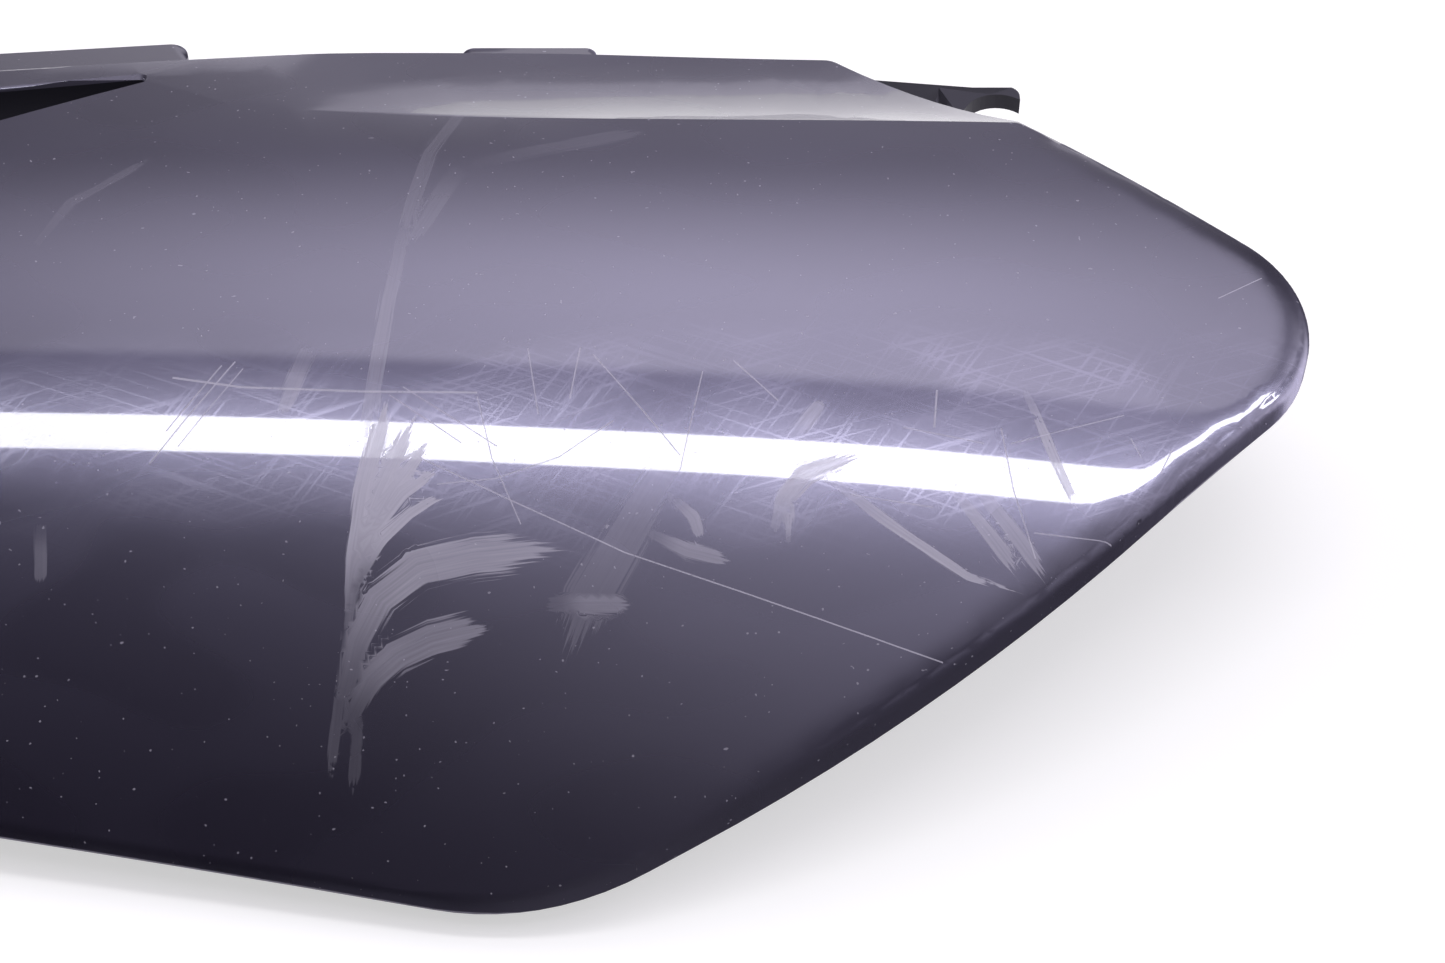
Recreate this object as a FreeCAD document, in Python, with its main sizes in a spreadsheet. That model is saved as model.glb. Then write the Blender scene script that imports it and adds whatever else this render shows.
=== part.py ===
import FreeCAD, Part
import math
import os
import Sketcher
from FreeCAD import Placement, Rotation, Vector

# Side panel of an off-road motorcycle: one moulding of gloss black plastic, lying face up
# X runs along the panel from its front end to its nose, Y across it to the seat edge, Z up
# The origin is under the middle of the panel, on the plane that its three grommet pins stand on

sizes = {
    # The whole panel, the height of its crown over the pins, and its wall
    "length": 433.4,
    "width": 245.4,
    "height": 54.0,
    "wall": 2.5,
    "rim_round": 3.0,
    # The crown: six sections across the panel, each an arc with its own radius
    # It flattens towards the nose, and the crown line drifts away from the far edge
    "radius_head": 265.0,
    "radius_fore": 270.0,
    "radius_middle": 278.0,
    "radius_waist": 286.0,
    "radius_rear": 310.0,
    "radius_tail": 345.0,
    # How far each section's crown line lies from the far edge
    "line_head": 86.0,
    "line_fore": 89.8,
    "line_middle": 93.7,
    "line_waist": 97.7,
    "line_rear": 100.0,
    "line_tail": 106.0,
    # How far each section's crown lies below the waist's, which is the highest
    "fall_head": 9.0,
    "fall_fore": 3.2,
    "fall_middle": 1.0,
    "fall_rear": 1.0,
    "fall_tail": 4.5,
    # How deep the rim is at each section
    "lip_head": 4.5,
    "lip_fore": 4.5,
    "lip_middle": 5.0,
    "lip_waist": 7.0,
    "lip_rear": 8.0,
    "lip_tail": 8.0,
    # Where the sections stand, as shares of the length from the middle
    "head_share": -0.526,
    "fore_share": -0.173,
    "middle_share": 0.0115,
    "waist_share": 0.1615,
    "rear_share": 0.337,
    "tail_share": 0.512,
    # The outline seen from above: seven corners of a polygon and the radius that rounds each
    "heel_from_nose": 174.2,
    "heel_over_near": 2.9,
    "heel_round": 80.0,
    "belly_from_nose": 87.7,
    "belly_from_near": 36.3,
    "belly_round": 380.0,
    "beak_over_nose": 16.8,
    "beak_from_near": 131.9,
    "beak_round": 34.4,
    "crest_from_nose": 107.7,
    "crest_from_far": 1.7,
    "crest_round": 5.0,
    "brow_from_nose": 176.7,
    "brow_from_far": 3.4,
    "brow_round": 500.0,
    "shoulder_from_far": 23.2,
    "shoulder_round": 45.0,
    "chin_from_near": 40.5,
    "chin_round": 45.0,
    # The ledge that steps down beyond a crease, from nothing at the fore section to its full
    # depth behind the middle: how far its crease lies from the far edge at each section
    "crease_fore": 40.2,
    "crease_middle": 42.6,
    "crease_waist": 44.7,
    "crease_rear": 44.6,
    "crease_tail": 45.0,
    # How far it stands over the crown where it starts, how long and steep the drop is, and how
    # steep the ledge beyond the cove is
    "ledge_rise": 2.6,
    "drop_run_fore": 2.0,
    "drop_run_middle": 2.0,
    "drop_run_waist": 2.0,
    "drop_run_rear": 2.0,
    "drop_run_tail": 2.0,
    "drop_angle_fore": 14.0,
    "drop_angle_middle": 26.0,
    "drop_angle_waist": 33.5,
    "drop_angle_rear": 36.0,
    "drop_angle_tail": 36.0,
    "ledge_angle_fore": 12.0,
    "ledge_angle_middle": 13.0,
    "ledge_angle_waist": 10.0,
    "ledge_angle_rear": 9.0,
    "ledge_angle_tail": 9.0,
    "cove_radius": 100.0,
    "crease_overrun": 6.0,
    # How far the drop's inner face is set back from its outer one, as a share of the wall
    "drop_setback": 0.4,
    # The recess that sweeps forward from a point near the seat edge
    "wedge_tip_from_front": 155.2,
    "wedge_tip_from_far": 20.3,
    "wedge_tip_round": 1.2,
    "wedge_end_from_front": 66.7,
    "wedge_low_from_far": 66.7,
    "wedge_high_from_far": 32.7,
    "wedge_end_round": 9.0,
    "wedge_depth": 12.0,
    "wedge_bevel": 1.2,
    # The seat tongue and the small tab, which slide in under the seat's edge
    "tongue_end_from_front": 66.7,
    "tongue_length": 91.5,
    "tongue_back_from_far": 1.5,
    "tongue_root_from_far": 15.9,
    "tongue_start_from_far": 22.7,
    "tongue_tip_from_far": 9.2,
    "tongue_round": 5.0,
    "tongue_drop": 18.0,
    "tab_from_nose": 169.2,
    "tab_length": 35.0,
    "tab_root_from_far": 10.7,
    "tab_round": 3.0,
    "tab_drop": 21.0,
    "tab_thick": 3.0,
    "root_round": 1.0,
    # The hook ear under the cut edge: a plate, a raised pad at its end and an open notch in it
    "ear_from_nose": 58.9,
    "ear_length": 55.8,
    "ear_tip_from_far": 11.3,
    "ear_root_from_far": 5.1,
    "ear_inner_from_far": 32.7,
    "ear_outer_from_far": 36.7,
    "ear_tip_round": 3.5,
    "ear_round": 2.0,
    "ear_drop": 25.8,
    "ear_thick": 3.6,
    "pad_rise": 1.2,
    "pad_length": 20.9,
    "notch_from_tip": 6.0,
    "notch_from_far": 23.5,
    "notch_radius": 9.5,
    # The two webs that carry the ear
    "web_thick": 2.2,
    "web_reach": 30.0,
    "web_pitch": 15.0,
    # The three grommet pins: a pin, a shoulder, a round core and a tapered cross of webs
    "front_peg_from_front": 66.7,
    "front_peg_from_near": 142.7,
    "rear_peg_from_nose": 130.7,
    "rear_peg_from_far": 64.7,
    "near_peg_from_nose": 196.7,
    "near_peg_from_near": 38.7,
    "pin_radius": 4.5,
    "pin_length": 10.0,
    "pin_bevel": 1.2,
    "shoulder_radius": 8.0,
    "shoulder_thick": 2.0,
    "core_radius": 3.5,
    "cross_thick": 2.0,
    "cross_spread": 0.28,
    # Stiffening ribs under the crown, from peg to peg and out to the nose
    "rib_thick": 1.8,
    "rib_depth": 7.0,
    "rib_tail_from_nose": 30.7,
    "rib_tail_from_near": 132.7,
    # The front fixing: a dished seat with a boss under it, drilled for an M6 screw
    "screw_from_front": 28.7,
    "screw_from_near": 122.7,
    "screw_radius": 3.25,
    "seat_radius": 11.0,
    "seat_drop": 16.0,
    "boss_radius": 8.0,
    "boss_thick": 6.0,
    # The stock that the walls are cut from: how far it reaches each side of the crown line, as a
    # share of the width, and how far over the crown
    "stock_share": 0.75,
    "stock_over": 36.0,
}

doc = FreeCAD.newDocument("side_panel")
sheet = doc.addObject("Spreadsheet::Sheet", "sizes")
sheet.Label = "sizes"
for row, (alias, number) in enumerate(sizes.items(), 1):
    sheet.set("A%d" % row, str(number))
    sheet.setAlias("A%d" % row, alias)
doc.recompute()


def value(expression):
    return float(sheet.evalExpression(expression))


# Places along the panel are measured from its front end or its nose, and places across it from
# its near or its far edge
def from_front(name):
    return "-sizes.length / 2 + sizes." + name


def from_nose(name):
    return "sizes.length / 2 - sizes." + name


def from_near(name):
    return "-sizes.width / 2 + sizes." + name


def from_far(name):
    return "sizes.width / 2 - sizes." + name


FRONT_END = "-sizes.length / 2"
STATIONS = ("head", "fore", "middle", "waist", "rear", "tail")
LEDGE = STATIONS[1:]
STOCK_SPAN = "sizes.stock_share * sizes.width"
STOCK_TOP = "(sizes.height + sizes.stock_over)"
STOCK_FLOOR = "-sizes.width / 2"
OUTLINE_FLOOR = "-sizes.height"


def top_of(station):
    """The height of a section's crown."""
    fall = "fall_" + station
    return "sizes.height - sizes." + fall if fall in sizes else "sizes.height"


def across(name, station):
    """An empty sketch on the plane across the panel at one station, with its own X along Y."""
    sketch = doc.addObject("Sketcher::SketchObject", name)
    sketch.Placement = Placement(Vector(), Rotation(Vector(1, 1, 1), 120))
    sketch.setExpression("Placement.Base.x", "sizes.%s_share * sizes.length" % station)
    return sketch


def point(x, y):
    return Vector(x, y, 0)


def tie(sketch, kind, name, expression, *where):
    """Add a constraint with a name, and bind its value to an expression on the sheet."""
    index = sketch.addConstraint(Sketcher.Constraint(kind, *where))
    sketch.renameConstraint(index, name)
    sketch.setExpression("Constraints.%s" % name, expression)


def close_loop(sketch, first, count):
    for i in range(first, count):
        sketch.addConstraint(Sketcher.Constraint("Coincident", i, 2, (i + 1) % count, 1))


def crown_section(prefix, station, inset, drop):
    """Half a barrel across the panel: the crown's arc, inset towards its own centre and dropped."""
    crown_radius = "sizes.radius_%s%s" % (station, inset)
    crown_line = from_far("line_" + station)
    crown_centre = "%s - sizes.radius_%s%s" % (top_of(station), station, drop)
    radius, line, centre = value(crown_radius), value(crown_line), value(crown_centre)
    span, floor = value(STOCK_SPAN), value(STOCK_FLOOR)
    end = math.acos(span / radius)
    height = centre + radius * math.sin(end)
    sketch = across("%s_%s" % (prefix, station), station)
    circle = Part.Circle(point(line, centre), Vector(0, 0, 1), radius)
    sketch.addGeometry(Part.ArcOfCircle(circle, end, math.pi - end), False)
    left, right = line - span, line + span
    sketch.addGeometry(Part.LineSegment(point(left, height), point(left, floor)), False)
    sketch.addGeometry(Part.LineSegment(point(left, floor), point(right, floor)), False)
    sketch.addGeometry(Part.LineSegment(point(right, floor), point(right, height)), False)
    close_loop(sketch, 0, 4)
    sketch.addConstraint(Sketcher.Constraint("Vertical", 1))
    sketch.addConstraint(Sketcher.Constraint("Horizontal", 2))
    sketch.addConstraint(Sketcher.Constraint("Vertical", 3))
    tie(sketch, "Radius", "crown", crown_radius, 0, radius)
    tie(sketch, "DistanceX", "line", crown_line, -1, 1, 0, 3, line)
    tie(sketch, "DistanceY", "centre", crown_centre, -1, 1, 0, 3, centre)
    tie(sketch, "DistanceX", "near", "%s - %s" % (crown_line, STOCK_SPAN), -1, 1, 1, 1, left)
    tie(sketch, "DistanceX", "far", "%s + %s" % (crown_line, STOCK_SPAN), -1, 1, 3, 1, right)
    tie(sketch, "DistanceY", "floor", STOCK_FLOOR, -1, 1, 1, 2, floor)
    return sketch


def loft(name, sections):
    solid = doc.addObject("Part::Loft", name)
    solid.Sections = sections
    solid.Solid = True
    solid.Ruled = False
    doc.recompute()
    return solid


def crown_block(name, inset="", drop=""):
    """Everything under the crown, or under a surface that follows it."""
    drops = {station: drop % station if drop else "" for station in STATIONS}
    return loft(name, [crown_section(name, station, inset, drops[station]) for station in STATIONS])


def rounded_polygon(name, corners):
    """A closed sketch of lines through corner points, with a tangent arc in each corner."""
    sketch = doc.addObject("Sketcher::SketchObject", name)
    count = len(corners)
    points = [point(value(x), value(y)) for x, y, rounding in corners]
    radii = [value(rounding) for x, y, rounding in corners]
    starts, ends, centres = [], [], []
    for i in range(count):
        before = (points[i - 1] - points[i]).normalize()
        after = (points[(i + 1) % count] - points[i]).normalize()
        half = before.getAngle(after) / 2
        starts.append(points[i] + before * (radii[i] / math.tan(half)))
        ends.append(points[i] + after * (radii[i] / math.tan(half)))
        centres.append(points[i] + (before + after).normalize() * (radii[i] / math.sin(half)))
    for i in range(count):
        circle = Part.Circle(centres[i], Vector(0, 0, 1), radii[i])
        first = circle.parameter(starts[i])
        last = circle.parameter(ends[i])
        turn = (last - first) % (2 * math.pi)
        low, high = (first, first + turn) if turn < math.pi else (last, last + 2 * math.pi - turn)
        sketch.addGeometry(Part.ArcOfCircle(circle, low, high), False)
        sketch.addGeometry(Part.LineSegment(ends[i], starts[(i + 1) % count]), False)
    for i, (x, y, rounding) in enumerate(corners):
        arc, line, before = 2 * i, 2 * i + 1, (2 * i - 1) % (2 * count)
        starts_low = (sketch.getPoint(arc, 1) - starts[i]).Length < 1e-6
        sketch.addConstraint(Sketcher.Constraint("Tangent", before, 2, arc, 1 if starts_low else 2))
        sketch.addConstraint(Sketcher.Constraint("Tangent", line, 1, arc, 2 if starts_low else 1))
        corner = sketch.addGeometry(Part.Point(points[i]), True)
        sketch.addConstraint(Sketcher.Constraint("PointOnObject", corner, 1, before))
        sketch.addConstraint(Sketcher.Constraint("PointOnObject", corner, 1, line))
        tie(sketch, "DistanceX", "corner_%d_x" % i, x, -1, 1, corner, 1, points[i].x)
        tie(sketch, "DistanceY", "corner_%d_y" % i, y, -1, 1, corner, 1, points[i].y)
        tie(sketch, "Radius", "corner_%d_round" % i, rounding, arc, radii[i])
    return sketch


def extrude(name, profile, length):
    solid = doc.addObject("Part::Extrusion", name)
    solid.Base = profile
    solid.DirMode = "Normal"
    solid.Solid = True
    solid.setExpression("LengthFwd", length)
    return solid


def offset(name, source, distance):
    """A closed sketch's outline, moved outwards by a distance."""
    line = doc.addObject("Part::Offset2D", name)
    line.Source = source
    line.setExpression("Value", distance)
    doc.recompute()
    return line


def boolean(kind, name, base, tool):
    solid = doc.addObject("Part::" + kind, name)
    solid.Base = base
    solid.Tool = tool
    doc.recompute()
    return solid


def joined(name, solids):
    solid = doc.addObject("Part::MultiFuse", name)
    solid.Shapes = solids
    doc.recompute()
    return solid


def moved(name, source, **shifts):
    """The same solid again, moved by expressions along the axes that are named."""
    copy = doc.addObject("Part::Compound", name)
    copy.Links = [source]
    for axis, expression in shifts.items():
        copy.setExpression("Placement.Base." + axis, expression)
    doc.recompute()
    return copy


def ledge_section(station):
    """The space over the ledge: a steep drop from the crease, a cove, then the ledge itself."""
    rise = " + sizes.ledge_rise" if station == "fore" else ""
    named = dict(station=station, top=top_of(station), rise=rise)
    crease_place = from_far("crease_" + station)
    crease_height = (
        "%(top)s - sizes.radius_%(station)s"
        " + sqrt(sizes.radius_%(station)s ^ 2 - (sizes.line_%(station)s - sizes.crease_%(station)s) ^ 2)"
        "%(rise)s"
    ) % named
    drop = math.radians(value("sizes.drop_angle_" + station))
    slope = math.radians(value("sizes.ledge_angle_" + station))
    run, cove = value("sizes.drop_run_" + station), value("sizes.cove_radius")
    over, reach, ceiling = value("sizes.crease_overrun"), value(STOCK_SPAN), value(STOCK_TOP)
    edge = point(value(crease_place), value(crease_height))
    above = edge + point(-over, over * math.tan(drop))
    foot = edge + point(run, -run * math.tan(drop))
    centre = foot + point(cove * math.sin(drop), cove * math.cos(drop))
    toe = centre + point(-cove * math.sin(slope), -cove * math.cos(slope))
    end = point(reach, toe.y - (reach - toe.x) * math.tan(slope))
    sketch = across("ledge_" + station, station)
    sketch.addGeometry(Part.LineSegment(above, foot), False)
    circle = Part.Circle(centre, Vector(0, 0, 1), cove)
    low, high = -math.pi / 2 - drop, -math.pi / 2 - slope
    sketch.addGeometry(Part.ArcOfCircle(circle, low, high), False)
    sketch.addGeometry(Part.LineSegment(toe, end), False)
    sketch.addGeometry(Part.LineSegment(end, point(reach, ceiling)), False)
    sketch.addGeometry(Part.LineSegment(point(reach, ceiling), point(above.x, ceiling)), False)
    sketch.addGeometry(Part.LineSegment(point(above.x, ceiling), above), False)
    sketch.addConstraint(Sketcher.Constraint("Tangent", 0, 2, 1, 1))
    sketch.addConstraint(Sketcher.Constraint("Tangent", 1, 2, 2, 1))
    close_loop(sketch, 2, 6)
    sketch.addConstraint(Sketcher.Constraint("Vertical", 3))
    sketch.addConstraint(Sketcher.Constraint("Horizontal", 4))
    sketch.addConstraint(Sketcher.Constraint("Vertical", 5))
    crease = sketch.addGeometry(Part.Point(edge), True)
    sketch.addConstraint(Sketcher.Constraint("PointOnObject", crease, 1, 0))
    tie(sketch, "DistanceX", "crease", crease_place, -1, 1, crease, 1, edge.x)
    tie(sketch, "DistanceY", "crease_height", crease_height, -1, 1, crease, 1, edge.y)
    tie(sketch, "DistanceX", "overrun", "sizes.crease_overrun", 0, 1, crease, 1, over)
    tie(sketch, "DistanceX", "drop_run", "sizes.drop_run_" + station, crease, 1, 0, 2, run)
    tie(sketch, "Angle", "drop_angle", "-sizes.drop_angle_%s * 1 deg" % station, 0, -drop)
    tie(sketch, "Angle", "ledge_angle", "-sizes.ledge_angle_%s * 1 deg" % station, 2, -slope)
    tie(sketch, "Radius", "cove", "sizes.cove_radius", 1, cove)
    tie(sketch, "DistanceX", "reach", STOCK_SPAN, -1, 1, 3, 1, reach)
    tie(sketch, "DistanceY", "ceiling", STOCK_TOP, -1, 1, 4, 1, ceiling)
    return sketch


def middle_of(face):
    low_u, high_u, low_v, high_v = face.ParameterRange
    return (low_u + high_u) / 2, (low_v + high_v) / 2


def crown_face(solid):
    """The largest face that looks up."""
    up = [f for f in solid.Shape.Faces if f.normalAt(*middle_of(f)).z > 0.5]
    return max(up, key=lambda f: f.Area)


def edge_numbers(solid, wires):
    wanted = [e for w in wires for e in w.Edges]
    return [i + 1 for i, e in enumerate(solid.Shape.Edges) if any(e.isSame(w) for w in wanted)]


def rounded(name, solid, numbers, radius):
    result = doc.addObject("Part::Fillet", name)
    result.Base = solid
    result.Edges = [(i, radius, radius) for i in numbers]
    doc.recompute()
    return result


def bevelled(name, solid, numbers, width):
    result = doc.addObject("Part::Chamfer", name)
    result.Base = solid
    result.Edges = [(i, width, width) for i in numbers]
    doc.recompute()
    return result


def top_loop(solid):
    """The edges round the crown's face."""
    return edge_numbers(solid, [crown_face(solid).OuterWire])


def inner_loops(solid):
    """The edges of the openings in the crown's face."""
    face = crown_face(solid)
    return edge_numbers(solid, [w for w in face.Wires if not w.isSame(face.OuterWire)])


def cylinder(name, x, y, radius, low, height):
    solid = doc.addObject("Part::Cylinder", name)
    solid.setExpression("Placement.Base.x", x)
    solid.setExpression("Placement.Base.y", y)
    solid.setExpression("Placement.Base.z", low)
    solid.setExpression("Radius", radius)
    solid.setExpression("Height", height)
    doc.recompute()
    return solid


def box(name, x, y, z, length, width, height):
    solid = doc.addObject("Part::Box", name)
    for axis, expression in (("x", x), ("y", y), ("z", z)):
        solid.setExpression("Placement.Base." + axis, expression)
    solid.setExpression("Length", length)
    solid.setExpression("Width", width)
    solid.setExpression("Height", height)
    doc.recompute()
    return solid


def column(name, profile, low):
    """A sketch's outline carried up from one height to the top of the stock."""
    profile.setExpression("Placement.Base.z", low)
    doc.recompute()
    return extrude(name, profile, "%s - (%s)" % (STOCK_TOP, low))


# The crown's solids: the outer skin, the space inside the wall and the foot of the rim
crown = crown_block("crown")
hollow = crown_block("hollow", inset=" - sizes.wall")
rim_floor = crown_block("rim_floor", drop=" - sizes.lip_%s")
outline = rounded_polygon("outline", (
    (from_nose("heel_from_nose"), "-sizes.width / 2 - sizes.heel_over_near", "sizes.heel_round"),
    (from_nose("belly_from_nose"), from_near("belly_from_near"), "sizes.belly_round"),
    ("sizes.length / 2 + sizes.beak_over_nose", from_near("beak_from_near"), "sizes.beak_round"),
    (from_nose("crest_from_nose"), from_far("crest_from_far"), "sizes.crest_round"),
    (from_nose("brow_from_nose"), from_far("brow_from_far"), "sizes.brow_round"),
    (FRONT_END, from_far("shoulder_from_far"), "sizes.shoulder_round"),
    (FRONT_END, from_near("chin_from_near"), "sizes.chin_round"),
))
outer_prism = column("outer_prism", outline, OUTLINE_FLOOR)
inner_outline = offset("inner_outline", outline, "-sizes.wall")
inner_prism = extrude("inner_prism", inner_outline, "%s - (%s)" % (STOCK_TOP, OUTLINE_FLOOR))
doc.recompute()
ledge_space = loft("ledge_space", [ledge_section(station) for station in LEDGE])
ledge_back = moved("ledge_back", ledge_space, y="-sizes.drop_setback * sizes.wall", z="-sizes.wall")
ledge_foot = moved("ledge_foot", ledge_space, z="-sizes.lip_rear")

# The recess follows the crown at its own depth, with the wall carried round it
wedge_floor = moved("wedge_floor", crown, z="-sizes.wedge_depth")
wedge_underside = moved("wedge_underside", crown, z="-sizes.wedge_depth - sizes.wall")
wedge_end = from_front("wedge_end_from_front")
wedge_outline = rounded_polygon("wedge_outline", (
    (from_front("wedge_tip_from_front"), from_far("wedge_tip_from_far"), "sizes.wedge_tip_round"),
    (wedge_end, from_far("wedge_low_from_far"), "sizes.wedge_end_round"),
    (wedge_end, from_far("wedge_high_from_far"), "sizes.wedge_end_round"),
))
wedge_prism = column("wedge_prism", wedge_outline, "0")
wedge_back_outline = offset("wedge_back_outline", wedge_outline, "sizes.wall")
wedge_back_prism = extrude("wedge_back_prism", wedge_back_outline, STOCK_TOP)
doc.recompute()
wedge_space = boolean("Cut", "wedge_space", wedge_prism, wedge_floor)
wedge_back = boolean("Cut", "wedge_back", wedge_back_prism, wedge_underside)

# The dished seat of the front screw
screw_x, screw_y = from_front("screw_from_front"), from_near("screw_from_near")
seat_floor = "sizes.height - sizes.seat_drop"
over_seat = "sizes.stock_over + sizes.seat_drop"
seat_space = cylinder("seat_space", screw_x, screw_y, "sizes.seat_radius", seat_floor, over_seat)
seat_back = cylinder(
    "seat_back", screw_x, screw_y, "sizes.seat_radius + sizes.wall",
    seat_floor + " - sizes.wall", over_seat + " + sizes.wall",
)

# The outer skin, with its rim rounded before the ledge, the recess and the seat are cut into it
plug = boolean("Common", "plug", crown, outer_prism)
smooth_plug = rounded("smooth_plug", plug, top_loop(plug), value("sizes.rim_round"))
stepped_plug = boolean("Cut", "stepped_plug", smooth_plug, ledge_space)
pierced_plug = boolean("Cut", "pierced_plug", stepped_plug, wedge_space)
bevelled_plug = bevelled("bevelled_plug", pierced_plug, inner_loops(pierced_plug), value("sizes.wedge_bevel"))
outer_skin = boolean("Cut", "outer_skin", bevelled_plug, seat_space)

# The space inside the wall, by the same steps
core = boolean("Common", "core", hollow, inner_prism)
stepped_core = boolean("Cut", "stepped_core", core, ledge_back)
dished_core = boolean("Cut", "dished_core", stepped_core, seat_back)
inside = boolean("Cut", "inside", dished_core, wedge_back)

# The shell, its rim trimmed to the depth that each section gives
full_shell = boolean("Cut", "full_shell", outer_skin, inside)
under_rim = boolean("Cut", "under_rim", rim_floor, ledge_foot)
skirt = boolean("Cut", "skirt", under_rim, inner_prism)
shell = boolean("Cut", "shell", full_shell, skirt)

# The middle of the wall: what stands under the shell runs up to it, so that all is one moulding
middle_crown = moved("middle_crown", crown, z="-sizes.wall / 2")
middle_ledge = moved("middle_ledge", ledge_space, z="-sizes.wall / 2")
stepped_middle = boolean("Cut", "stepped_middle", middle_crown, middle_ledge)
middle_wall = boolean("Common", "middle_wall", stepped_middle, inner_prism)
whole_middle = boolean("Common", "whole_middle", stepped_middle, outer_prism)
rim_wall = boolean("Cut", "rim_wall", whole_middle, inner_prism)


def plate(name, corners, top, thickness):
    """A flat plate with rounded corners, hung down from its top face."""
    profile = rounded_polygon(name + "_outline", corners)
    profile.setExpression("Placement.Base.z", "%s - %s" % (top, thickness))
    doc.recompute()
    return extrude(name, profile, thickness)


def tab_with_neck(name, corners, top):
    """A tab under the rim, and the stretch of the rim's wall that reaches down to carry it."""
    blade = plate(name + "_blade", corners, top, "sizes.tab_thick")
    stock = column(name + "_stock", rounded_polygon(name + "_stock_outline", corners), top)
    neck = boolean("Common", name + "_neck", stock, rim_wall)
    return joined(name, [blade, neck])


# The tongue and the tab
tongue_end = from_front("tongue_end_from_front")
tongue_back = tongue_end + " + sizes.tongue_length"
tongue = tab_with_neck("tongue", (
    (tongue_back, from_far("tongue_back_from_far"), "sizes.tongue_round"),
    (tongue_back, from_far("tongue_root_from_far"), "sizes.root_round"),
    (tongue_end, from_far("tongue_start_from_far"), "sizes.root_round"),
    (tongue_end, from_far("tongue_tip_from_far"), "sizes.tongue_round"),
), "sizes.height - sizes.tongue_drop")
tab_back = from_nose("tab_from_nose")
tab_start = tab_back + " - sizes.tab_length"
tab = tab_with_neck("tab", (
    (tab_back, "sizes.width / 2", "sizes.tab_round"),
    (tab_back, from_far("tab_root_from_far"), "sizes.root_round"),
    (tab_start, from_far("tab_root_from_far"), "sizes.root_round"),
    (tab_start, "sizes.width / 2", "sizes.tab_round"),
), "sizes.height - sizes.tab_drop")

# The hook ear, and the webs that carry it
ear_tip = from_nose("ear_from_nose")
ear_root = ear_tip + " - sizes.ear_length"
ear_outer = from_far("ear_outer_from_far")
ear_top = "sizes.height - sizes.ear_drop"
ear_low = ear_top + " - sizes.ear_thick"
ear_corners = (
    (ear_tip, from_far("ear_tip_from_far"), "sizes.ear_tip_round"),
    (ear_root, from_far("ear_root_from_far"), "sizes.ear_round"),
    (ear_root, from_far("ear_inner_from_far"), "sizes.ear_round"),
    (ear_tip, ear_outer, "sizes.ear_round"),
)
ear_plate = plate("ear_plate", ear_corners, ear_top, "sizes.ear_thick")
pad_stock = plate("pad_stock", ear_corners, ear_top + " + sizes.pad_rise", "sizes.pad_rise")
pad_end = box(
    "pad_end", ear_tip + " - sizes.pad_length", ear_outer, ear_top,
    "sizes.pad_length", "sizes.ear_outer_from_far - sizes.ear_tip_from_far", "sizes.pad_rise",
)
pad = boolean("Common", "pad", pad_stock, pad_end)
ear_stock = joined("ear_stock", [ear_plate, pad])
notch_x, notch_y = ear_tip + " - sizes.notch_from_tip", from_far("notch_from_far")
notch_tall = "sizes.ear_thick + sizes.pad_rise"
notch_bore = cylinder("notch_bore", notch_x, notch_y, "sizes.notch_radius", ear_low, notch_tall)
notch_mouth = box(
    "notch_mouth", notch_x + " - sizes.notch_radius", ear_outer, ear_low,
    "2 * sizes.notch_radius", "sizes.ear_outer_from_far - sizes.notch_from_far", notch_tall,
)
notch = joined("notch", [notch_bore, notch_mouth])
ear = boolean("Cut", "ear", ear_stock, notch)
ear_webs = [
    box(
        "ear_web_%d" % i, "%s + sizes.wall + %d * sizes.web_pitch" % (ear_root, i),
        from_far("ear_root_from_far") + " - sizes.web_reach", ear_low,
        "sizes.web_thick", "sizes.web_reach - sizes.wall", "sizes.ear_drop + sizes.stock_over",
    )
    for i in range(2)
]

# The pegs and the ribs between them
PLACES = {
    "front_peg": (from_front("front_peg_from_front"), from_near("front_peg_from_near")),
    "rear_peg": (from_nose("rear_peg_from_nose"), from_far("rear_peg_from_far")),
    "near_peg": (from_nose("near_peg_from_nose"), from_near("near_peg_from_near")),
    "rib_tail": (from_nose("rib_tail_from_nose"), from_near("rib_tail_from_near")),
    "screw": (screw_x, screw_y),
}
PEGS = ("front_peg", "rear_peg", "near_peg")
RIBS = (
    ("front_peg", "rear_peg"), ("front_peg", "near_peg"), ("near_peg", "rear_peg"),
    ("near_peg", "rib_tail"), ("rear_peg", "rib_tail"), ("front_peg", "screw"),
)


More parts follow.
